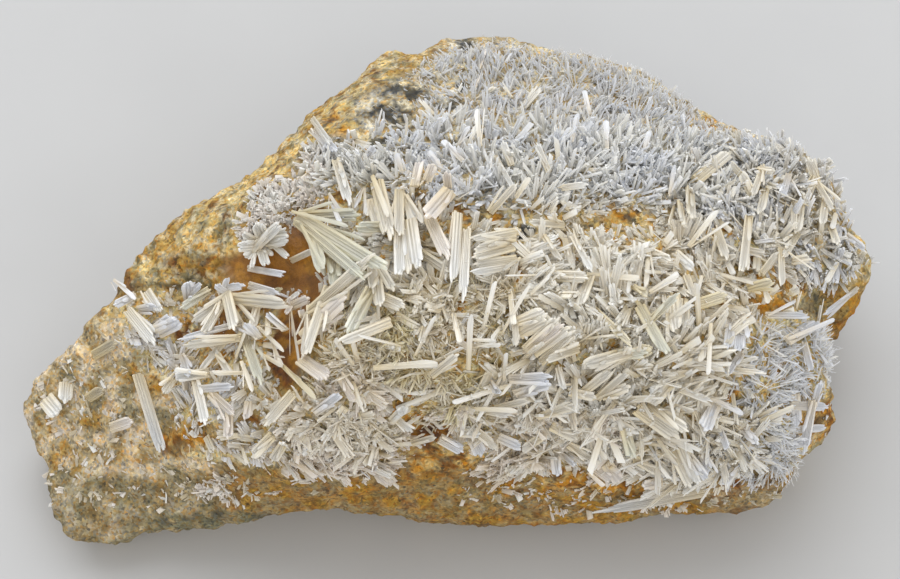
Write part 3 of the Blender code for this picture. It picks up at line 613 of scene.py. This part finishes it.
def sheaf(slats, chance, count, fan, ragged, point=0.0, step=0.2):
    """Slats grown side by side as one unit-size sheaf, with stepped ends: its points, faces and slat numbers.

    The outer slats end lower than the middle ones by the share named point, and step makes them lie unevenly.
    """
    points, quads, numbers = [], [], []
    for i in range(count):
        slat_points, slat_quads = slats[chance.randrange(len(slats))]
        middle = (i + 0.5) / count - 0.5
        moved = slat_points.copy()
        moved[:, 0] *= (chance.uniform(1.1, 1.8) if count > 1 else 1.0) / count * chance.choice((-1, 1))
        moved[:, 1] *= chance.uniform(0.6, 1.0)
        low = chance.uniform(0, ragged * 0.3)
        high = 1 - chance.uniform(0, ragged) - 2 * abs(middle) * point
        moved[:, 2] = low + moved[:, 2] * (high - low)
        moved[:, 0] += middle * (1 + fan * moved[:, 2]) + chance.uniform(-0.04, 0.04) * moved[:, 2]
        if count > 1:
            moved[:, 1] += chance.uniform(-step, step) + chance.uniform(-step, step) * moved[:, 2]
        quads.append(slat_quads + sum(len(part) for part in points))
        points.append(moved)
        numbers += [i] * len(slat_points)
    return np.vstack(points), np.vstack(quads), np.array(numbers)


def model_sheaves(seed):
    """The unit-size sheaves that every bed is planted with, by kind, from single needles to wide blades."""
    chance = random.Random(seed)
    planks = [model_slat(*shape) for shape in rows("0.9 0.92 0.9 0.04, 0.75 0.85 0.8 0.1, 0.8 0.95 0.9 0.02")]
    spears = [model_slat(*shape) for shape in rows("0.9 0.4 0.5 0.03, 0.7 0.62 0.6 0.12, 1.0 0.25 0.4 0.02")]
    flat = rows("0.8 0.95 0.8 0.03, 0.7 0.88 0.6 0.06, 0.9 0.97 0.9 0.05, 0.8 0.8 0.4 0")
    fine = [model_lath(*shape) for shape in flat]
    both = planks + spears
    return {
        "needles": [sheaf(spears, chance, n, 0.3, 0.25) for n in (1, 1, 1, 2)],
        "pairs": [sheaf(both, chance, n, 0.25, 0.3) for n in (1, 1, 2, 2, 3)],
        "laths": [sheaf(both, chance, n, chance.uniform(-0.15, 0.3), 0.3) for n in (1, 1, 2, 2, 3, 3, 4)]
        + [sheaf(planks, chance, n, 0.8, 0.3) for n in (4, 5)],
        "blades": [
            sheaf(fine, chance, n, chance.uniform(-0.2, 0.06), 0.12, point, 0.06)
            for n, point in ((3, 0.1), (4, 0.12), (4, 0.03), (5, 0.15), (5, 0.04), (6, 0.1), (3, 0.0))
        ],
        "splinters": [sheaf(fine, chance, 1, 0, 0.1) for _ in range(4)],
    }


class Patch:
    """Collects planted sheaves and makes one joined mesh of them."""

    def __init__(self, name):
        self.name = name
        self.points, self.quads, self.maps, self.tints = [], [], [], []
        self.total = 0
        self.splinters = []
        # The root colour: painted shade at the feet of the crystals, with a limonite stain where it is amber.
        self.root_stain_and_shade = tone("amber")

    def plant(self, master, root, along, facing, length, width, depth, tint, chance):
        points, quads, numbers = master
        along = np.asarray(along) / np.linalg.norm(along)
        across = np.cross(along, facing)
        across /= np.linalg.norm(across) + 1e-9
        deep = np.cross(across, along)
        placed = (
            np.asarray(root)
            + points[:, :1] * width * across
            + points[:, 1:2] * depth * deep
            + points[:, 2:] * length * along
        )
        shade = np.array([chance.uniform(0.93, 1.04) for _ in range(numbers.max() + 1)])[numbers]
        # Painted shade: towards its root each slat goes over into the darker root colour, with a limonite
        # stain where that colour is amber.
        stained = np.clip(0.8 - points[:, 2:], 0, 0.8) * 0.78
        self.points.append(placed)
        self.quads.append(quads + self.total)
        shift = chance.uniform(0, 50)
        self.maps.append(np.column_stack([points[:, 0] * width + shift, points[:, 2] * length + shift]))
        self.tints.append(np.clip(np.outer(shade, tint) * (1 - stained) + self.root_stain_and_shade * stained, 0, 1))
        self.total += len(points)

    def build(self, material):
        points = np.vstack(self.points) * MM
        quads = np.vstack(self.quads)
        mesh = bpy.data.meshes.new(self.name)
        mesh.from_pydata(points.tolist(), [], quads.tolist())
        growth = mesh.uv_layers.new(name="growth")
        growth.data.foreach_set("uv", np.vstack(self.maps)[quads.ravel()].ravel())
        store(mesh, "tint", np.vstack(self.tints))
        mesh.materials.append(material)
        mesh.update()
        made = bpy.data.objects.new(self.name, mesh)
        bpy.context.scene.collection.objects.link(made)
        deselect_all()
        made.select_set(True)
        bpy.context.view_layer.objects.active = made
        bpy.ops.object.mode_set(mode="EDIT")
        bpy.ops.mesh.select_all(action="SELECT")
        bpy.ops.mesh.normals_make_consistent(inside=False)
        bpy.ops.object.mode_set(mode="OBJECT")
        return made


def store(mesh, name, values):
    layer = mesh.color_attributes.new(name, "FLOAT_COLOR", "POINT")
    layer.data.foreach_set("color", np.column_stack([values, np.ones(len(values))]).ravel())


def finish_piece(piece, slot, *nodes):
    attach(piece, "root")
    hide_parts(*nodes)


def lath_ends(surface, ends, rise):
    """Root, tip, rock normal and line of sight of a lath whose two ends show at these pixels.

    Where it would reach far in depth it is rooted at its nearer end, and its tip stands off the rock.
    """
    longest = math.dist(*ends) * PIXEL * MOST_DEPTH
    (root, normal, _), (below, tip_normal, sight) = (place(surface, end) for end in ends)
    if (below - root).dot(sight) < -longest:
        root, normal, below, tip_normal = below, tip_normal, root, normal
    rise = max(rise / max(0.5, -tip_normal.dot(sight)), (below - root).dot(sight) - longest)
    return root, below - sight * rise, normal, sight


def plant_lath(patch, surface, masters, chance, ends, rise, width, root_height, tint, splinters=2):
    """A lath whose two ends show at these pixels, its broad side turned about to the eye."""
    root, tip, normal, sight = lath_ends(surface, ends, rise)
    root = root + normal * root_height - sight * root_height * 0.3
    along = (tip - root).normalized()
    facing = np.array(normal * 0.35 - sight * 0.8) + np.array([chance.gauss(0, 0.22) for _ in range(3)])
    length = (tip - root).length + ROOT_SUNK
    master = masters[chance.randrange(len(masters))]
    patch.plant(
        master, root - along * ROOT_SUNK, along, facing, length, width, width * LATH_THICKNESS,
        np.array(tint) * chance.uniform(0.9, 1.03), chance,
    )
    for _ in range(splinters):
        sway = Vector([chance.gauss(0, 0.16) for _ in range(3)])
        start = root - along * ROOT_SUNK + Vector([chance.gauss(0, width * 0.3) for _ in range(3)])
        size = width * chance.uniform(0.22, 0.45)
        patch.plant(
            chance.choice(patch.splinters), start, along + sway, facing, length * chance.uniform(0.5, 0.95),
            size, size * 0.6, np.array(tint) * chance.uniform(0.9, 1.05), chance,
        )


def bareness(pixels, wider):
    """How bare of crystals each place is, from the bare spots made wider by this share."""
    bare = np.zeros(len(pixels))
    for x, y, half_x, half_y, share, _ in BARE_SPOTS:
        bare = np.maximum(bare, spot_share(pixels, (x, y, half_x * wider, half_y * wider)) * share)
    return bare


class Ground:
    """The triangles of the rock that crystals may stand on, and their places in the picture."""

    def __init__(self, rock):
        mesh = rock.data
        mesh.calc_loop_triangles()
        corners = np.empty(len(mesh.loop_triangles) * 3, np.int32)
        mesh.loop_triangles.foreach_get("vertices", corners)
        points, normals = points_of(mesh), normals_of(mesh)
        corners = corners.reshape(-1, 3)
        self.corners = points[corners]
        self.facing = normals[corners].mean(axis=1)
        middles = self.corners.mean(axis=1)
        sides = self.corners[:, 1:] - self.corners[:, :1]
        self.area = np.linalg.norm(np.cross(sides[:, 0], sides[:, 1]), axis=1)
        self.area *= (self.facing[:, 2] > LOWEST_FACING) & (middles[:, 2] > LOWEST_GROUND)
        self.upward = self.facing[:, 2] > 0.34
        self.pixels = pixels_of(middles)
        self.within = inside_edge(self.pixels, CRUST_EDGE)
        self.bare = bareness(self.pixels, 1.0)

    def scatter(self, spots, count, keep_inside, seed):
        """Random places in the spots, even by area: point, normal, pixel, and pixels inside the edge."""
        stray = STRAY_SHARE if keep_inside else 0.0
        weight = self.area * (1 - self.bare) * (spots_share(self.pixels, spots) + stray)
        fade = 12 + 14 * smooth((self.pixels[:, 1] - 430) / 20)
        weight = weight * (smooth((self.within + fade / 3) / fade) if keep_inside else self.upward)
        chance = np.random.default_rng(seed)
        chosen = chance.choice(len(weight), size=count, p=weight / weight.sum())
        shares = chance.dirichlet((1, 1, 1), size=count)
        at = (self.corners[chosen] * shares[:, :, None]).sum(axis=1)
        return at, self.facing[chosen], pixels_of(at), self.within[chosen]


def headings(at, seed, sprays):
    """A heading for each place: it follows the nearest spray's own, or runs out from that spray's middle."""
    chance = np.random.default_rng(seed)
    middles = at[chance.choice(len(at), size=sprays, replace=False)]
    turn = chance.uniform(0, math.tau, size=sprays)
    radial = chance.uniform(0, 1, size=sprays)
    near = np.concatenate([
        np.linalg.norm(at[first : first + 1000, None] - middles[None], axis=2).argmin(axis=1)
        for first in range(0, len(at), 1000)
    ])
    outward = at - middles[near]
    outward /= np.linalg.norm(outward, axis=1)[:, None] + 1e-9
    own = np.column_stack([np.cos(turn[near]), np.sin(turn[near]), np.zeros(len(near))])
    found = np.where((radial[near] > 0.45)[:, None], outward, own)
    return found + chance.normal(0, 0.34, size=found.shape)


def under_laths(pixels):
    """Which places lie under one of the large laths, where the bed is kept low."""
    under = np.zeros(len(pixels), bool)
    for x0, y0, x1, y1, width, *_ in LATHS:
        under |= distance_to(pixels, np.array((x0, y0)), np.array((x1, y1))) < width / PIXEL * 0.5 + 3
    return under


def plant_bed(bed, ground, kinds, material, sizes, seed):
    name, spots, count, kind, lean, length, width, height, tints, sprays, keep_inside = bed
    patch = Patch(name)
    chance = random.Random(seed)
    count = int(count * sizes.bed_share)
    at, normals, pixels, within = ground.scatter(rows(spots), count, keep_inside, seed)
    runs = headings(at, seed + 1, sprays)
    first, second, patch.root_stain_and_shade = (tone(tint) for tint in tints.split())
    patches = np.clip(noise_at(at, TINT_PATCH, seed) * 1.6 + 0.5, 0, 1)
    low = under_laths(pixels)
    short = 1 - 0.55 * bareness(pixels, 1.7)
    inward = -at[:, :2] if keep_inside else None
    masters = kinds[kind]
    for i in range(count):
        normal, run = normals[i], runs[i]
        flat = run - normal * (run @ normal)
        flat /= np.linalg.norm(flat) + 1e-9
        room = min(1.0, max(0.4, 0.4 + within[i] / 26)) if keep_inside else 1.0
        room *= short[i] * (0.6 if low[i] else 1.0)
        long = (length[0] + (length[1] - length[0]) * chance.random() ** 1.7) * room
        if keep_inside and within[i] < 12 + long * 0.6 / PIXEL and flat[:2] @ inward[i] < 0:
            flat = -flat
        angle = math.radians(chance.uniform(*lean))
        along = normal * math.cos(angle) + flat * math.sin(angle)
        if at[i, 2] + along[2] * long < 1:
            along[2] = abs(along[2])
        wide = width[0] + (width[1] - width[0]) * chance.random() ** 2.0
        lift = 0.0 if low[i] else chance.random() * height * room
        facing = normal + np.array([chance.gauss(0, 0.5) for _ in range(3)])
        share = min(1.0, max(0.0, patches[i] + chance.gauss(0, 0.25)))
        tint = first * (1 - share) + second * share
        if chance.random() < WHITE_SHARE:
            tint = tone("white")
        patch.plant(
            masters[chance.randrange(len(masters))], at[i] + normal * (lift - 0.4), along, facing, long, wide,
            max(THINNEST, wide * 0.45), tint * chance.uniform(0.9, 1.04), chance,
        )
    made = patch.build(material)
    finish_piece(made, "cerussite", "cerussite_crust")


class SPECIMEN_OT_rock(bpy.types.Operator):
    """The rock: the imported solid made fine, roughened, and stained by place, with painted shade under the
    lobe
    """

    bl_idname = "specimen.rock"
    bl_label = "Rock"

    def execute(self, context):
        sizes = context.scene.specimen_sizes
        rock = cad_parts["matrix_rock"].copy()
        rock.data = rock.data.copy()
        rock.name = "sandstone_matrix"
        context.scene.collection.objects.link(rock)
        rock.parent = None
        for key in list(rock.keys()):
            del rock[key]
        deselect_all()
        rock.select_set(True)
        context.view_layer.objects.active = rock
        bpy.ops.object.mode_set(mode="EDIT")
        bpy.ops.mesh.select_all(action="SELECT")
        bpy.ops.mesh.remove_doubles(threshold=0.00001)
        bpy.ops.object.mode_set(mode="OBJECT")
        fine = rock.modifiers.new("Fine", "SUBSURF")
        fine.levels = fine.render_levels = sizes.rock_levels
        bpy.ops.object.modifier_apply(modifier=fine.name)
        bpy.ops.object.shade_smooth()
        self.roughen(rock, sizes)
        self.stain(rock)
        rock.data.materials.clear()
        rock.data.materials.append(sandstone(sizes))
        finish_piece(rock, "rock", "matrix_rock")
        return {"FINISHED"}

    def roughen(self, rock, sizes):
        points = points_of(rock.data)
        normals = normals_of(rock.data)
        calm = 1 - 0.75 * spots_share(pixels_of(points), HOLLOW)
        push = noise_at(points, 3.2) + noise_at(points, 1.5, 5.0) * 0.9 + noise_at(points, 0.75, 9.0) * 0.8
        moved = points + normals * (push * calm * sizes.pit_height / MM)[:, None]
        moved[:, 2] = np.where(points[:, 2] < 0.02, points[:, 2], np.maximum(moved[:, 2], 0))
        rock.data.vertices.foreach_set("co", (moved * MM).ravel())
        rock.data.update()

    def stain(self, rock):
        """Paints the rock by place: sandy rim, limonite hollow, tan lobe with painted shade under it, pale
        ground under the crystals.
        """
        points = points_of(rock.data)
        pixels = pixels_of(points)
        fields = [noise_at(points, size, shift) for size, shift in MOTTLE_FIELDS]
        within = inside_edge(pixels, CRUST_EDGE)
        x, y = pixels.T
        paint = self.mottle("olive", "tan 0 0 0.8, ochre 1 0.1 0.6, slate 2 0.25 0.5", fields)

        def lay(base, layers, share):
            nonlocal paint
            share = share[:, None]
            paint = paint * (1 - share) + self.mottle(base, layers, fields) * share

        front = smooth((y - 455) / 24)
        lobe = smooth((250 - x) / 50)
        right_end = smooth((x - 812) / 30)
        rim = smooth((1 - within) / 8) * smooth((480 - x) / 30) * smooth((330 - y) / 24)
        lay("tan", "dull 2 0 0.8, olive 0 0.12 0.6, ochre 1 0.2 0.8, rose 4 0.14 0.45, chalk 3 0.2 0.5",
            lobe * smooth((y - 285) / 30))
        lay("ochre", "olive 0 0 0.6, tan 1 0 0.7, orange 2 0.24 0.5, brown 3 0.24 0.6",
            front * smooth((x - 190) / 50))
        lay("sand", "ochre 0 -0.05 0.8, olive 1 0.15 0.6, chalk 3 0.1 0.6", right_end)
        lay("ochre", "brown 0 0.05 0.7, orange 1 0 0.7, olive 2 0.2 0.5", right_end * smooth((y - 284) / 12))
        lay("sand", "ochre 0 -0.05 0.8, olive 1 0.2 0.85, brown 2 0.3 0.75, chalk 3 0.1 0.7", rim)
        upper_edge, lobe_underside_shade, front_patch = (spots_share(pixels, rows(spots)) for spots in LOCAL_STAINS_AND_SHADE)
        lay("brown", "ochre 2 0 0.8, olive 1 0.1 0.7", upper_edge * 0.85)
        # Painted shade: the underside of the lobe and its lower part are darkened with olive and slate.
        lay("olive", "slate 1 0.1 0.6, tan 2 0.1 0.7",
            np.maximum(lobe_underside_shade, 0.55 * lobe * smooth((y - 455) / 40)))
        lay("tan", "brown 0 0 0.7, dull 2 0.1 0.7", front_patch * 0.8)
        behind = smooth((np.interp(x, LEDGE_LINE_X, LEDGE_LINE_Y) - y) / 14 + 0.5)
        crust = smooth((within + 2) / 10) * (1 - front)
        lay("chalk", "grey 0 0 0.7, tan 1 0.1 0.6, ochre 2 0.36 0.5, slate 3 0.3 0.5",
            behind * np.maximum(crust, smooth((x - 425) / 40) * smooth((840 - x) / 40)))
        lay("straw", "olive 0 0.25 0.4, ochre 1 0.12 0.6, orange 2 0.3 0.6, chalk 3 0.05 0.7",
            crust * (1 - behind) * 0.9)
        lay("skin", "brown 0 0.05 0.55, orange 1 0.15 0.5", spots_share(pixels, HOLLOW))
        ragged = pixels + np.column_stack([fields[1] + fields[3], fields[2] + fields[3]]) * 8
        for spot in BARE_SPOTS:
            lay(spot[5], SPOT_LAYERS[spot[5]], spot_share(ragged, spot))
        _, _, eye = view_axes()
        turned = smooth(0.3 - normals_of(rock.data) @ np.array((eye - VIEW_TARGET).normalized()) * 3)
        lay("tan", "sand 0 0 0.8, ochre 1 0.15 0.8, olive 2 0.2 0.6, brown 3 0.3 0.6", turned)
        # The stain attribute carries the rock's stains and the painted shade under the lobe.
        store(rock.data, "stain", np.clip(paint, 0, 1))
        store(rock.data, "sand", np.column_stack([1 - 0.9 * spots_share(pixels, HOLLOW)] * 3))

    def mottle(self, base, layers, fields):
        """A base colour with patches of others over it: each has a noise field, a level and a strength."""
        paint = np.tile(tone(base), (len(fields[0]), 1))
        for name, field, level, strength in rows(layers):
            share = (smooth((fields[int(field)] - level) / 0.2 + 0.5) * strength)[:, None]
            paint = paint * (1 - share) + tone(name) * share
        return paint * (1 + 0.25 * fields[4][:, None])


class SPECIMEN_OT_beds(bpy.types.Operator):
    """The small crystals: upright behind the ledge, a jackstraw bed in front, fine needles in the hollows"""

    bl_idname = "specimen.beds"
    bl_label = "Crystal beds"

    def execute(self, context):
        sizes = context.scene.specimen_sizes
        ground = Ground(bpy.data.objects["sandstone_matrix"])
        kinds = model_sheaves(11)
        milky = cerussite("milky cerussite", sizes, 0.36, 0.5)
        for i, bed in enumerate(BEDS):
            plant_bed(bed, ground, kinds, milky, sizes, 20 + 2 * i)
        return {"FINISHED"}


class SPECIMEN_OT_laths(bpy.types.Operator):
    """The large laths of the crust that can be told apart, each a blade of slats with growth lines"""

    bl_idname = "specimen.laths"
    bl_label = "Large laths"

    def execute(self, context):
        sizes = context.scene.specimen_sizes
        surface = surface_of(bpy.data.objects["sandstone_matrix"])
        kinds = model_sheaves(12)
        chance = random.Random(31)
        patch = Patch("large_laths")
        patch.splinters = kinds["splinters"]
        for x0, y0, x1, y1, width, *tint in LATHS:
            reach = math.hypot(x1 - x0, y1 - y0) * PIXEL
            rise = min(MOST_RISE, LEAST_RISE + RISE_PER_REACH * reach)
            masters = kinds["blades" if width >= LEAST_BLADE else "splinters"]
            plant_lath(
                patch, surface, masters, chance, ((x0, y0), (x1, y1)), rise, width * LATH_WIDTH,
                sizes.lath_height / MM, tone(tint[0] if tint else "cream"),
            )
        made = patch.build(cerussite("silky cerussite laths", sizes, 0.3, 0.5))
        finish_piece(made, "cerussite", "cerussite_crust")
        return {"FINISHED"}


class SPECIMEN_OT_singles(bpy.types.Operator):
    """The crystals that stand alone on bare rock, each on the place of its own solid"""

    bl_idname = "specimen.singles"
    bl_label = "Lone crystals"

    def execute(self, context):
        surface = surface_of(bpy.data.objects["sandstone_matrix"])
        kinds = model_sheaves(13)
        chance = random.Random(41)
        lustre = cerussite("lone cerussite laths", context.scene.specimen_sizes, 0.32, 0.5)
        for node, (tint, *lines) in SINGLES.items():
            laths = rows(*lines)
            patch = Patch(node + "_slats")
            patch.splinters = kinds["splinters"]
            for x0, y0, x1, y1, rise, width in laths:
                plant_lath(
                    patch, surface, kinds["blades"], chance, ((x0, y0), (x1, y1)), rise, width, 0.4,
                    tone(tint), 2 if len(laths) > 3 else 0,
                )
            finish_piece(patch.build(lustre), "cerussite", node)
        return {"FINISHED"}


class SPECIMEN_OT_stage(bpy.types.Operator):
    """A plain pale floor, soft light from behind and above, and the camera at the photographed angle"""

    bl_idname = "specimen.stage"
    bl_label = "Stage"

    def execute(self, context):
        context.scene.view_settings.view_transform = "Standard"
        self.floor(context)
        for panel in LIGHT_PANELS:
            self.light(*panel)
        world = bpy.data.worlds.new("soft room")
        world.use_nodes = True
        room = world.node_tree.nodes["Background"].inputs
        room["Color"].default_value = (*linear("#eae9e6"), 1)
        room["Strength"].default_value = ROOM_STRENGTH
        context.scene.world = world
        self.camera(context)
        return {"FINISHED"}

    def floor(self, context):
        deselect_all()
        bpy.ops.mesh.primitive_plane_add(size=3, location=(0, 0, 0))
        floor = context.object
        floor.name = "floor"
        paint, tree, shader = new_material("pale matt board", Roughness=0.9)
        place_on = add_node(tree, "ShaderNodeTexCoord").outputs["Object"]
        mottle = add_node(tree, "ShaderNodeTexNoise", {"Scale": 40.0, "Detail": 3.0}, Vector=place_on)
        base = tone("floor")
        shade = ramp(tree, mottle.outputs["Fac"], [(0.3, tuple(base * 0.97)), (0.7, tuple(base))])
        tree.links.new(shade, shader.inputs["Base Color"])
        floor.data.materials.append(paint)

    def light(self, name, at, size, energy, color):
        lamp = bpy.data.lights.new(name, "AREA")
        lamp.size = size
        lamp.energy = energy
        lamp.color = color
        thing = bpy.data.objects.new(name, lamp)
        thing.location = at
        thing.rotation_euler = (Vector(LIGHTS_AIM) - thing.location).to_track_quat("-Z", "Y").to_euler()
        bpy.context.scene.collection.objects.link(thing)

    def camera(self, context):
        _, _, eye = view_axes()
        data = bpy.data.cameras.new("camera")
        data.sensor_width = SENSOR_WIDTH
        data.lens = SENSOR_WIDTH * VIEW_DISTANCE / (PICTURE_WIDTH * PIXEL)
        data.clip_start = 0.01
        camera = bpy.data.objects.new("camera", data)
        camera.location = eye * MM
        camera.rotation_euler = (math.pi / 2 - VIEW_ELEVATION, 0, 0)
        context.scene.collection.objects.link(camera)
        context.scene.camera = camera


class SPECIMEN_PT_panel(bpy.types.Panel):
    """Sizes, colours and steps of the specimen"""

    bl_idname = "SPECIMEN_PT_panel"
    bl_label = "Cerussite specimen"
    bl_space_type = "VIEW_3D"
    bl_region_type = "UI"
    bl_category = "Cerussite"

    def draw(self, context):
        for group in (context.scene.specimen_sizes, context.scene.specimen_colors):
            box = self.layout.box()
            for key in group.__annotations__:
                box.prop(group, key)
        for step in STEPS:
            self.layout.operator(step.bl_idname)


STEPS = (SPECIMEN_OT_stage, SPECIMEN_OT_rock, SPECIMEN_OT_beds, SPECIMEN_OT_laths, SPECIMEN_OT_singles)
CLASSES = (SpecimenSizes, SpecimenColors, *STEPS, SPECIMEN_PT_panel)


def register():
    for item in CLASSES:
        bpy.utils.register_class(item)
    bpy.types.Scene.specimen_sizes = PointerProperty(type=SpecimenSizes)
    bpy.types.Scene.specimen_colors = PointerProperty(type=SpecimenColors)


def unregister():
    del bpy.types.Scene.specimen_colors
    del bpy.types.Scene.specimen_sizes
    for item in reversed(CLASSES):
        bpy.utils.unregister_class(item)


def main():
    register()
    bpy.ops.specimen.stage()
    bpy.ops.specimen.rock()
    bpy.ops.specimen.beds()
    bpy.ops.specimen.laths()
    bpy.ops.specimen.singles()


if __name__ == "__main__":
    main()
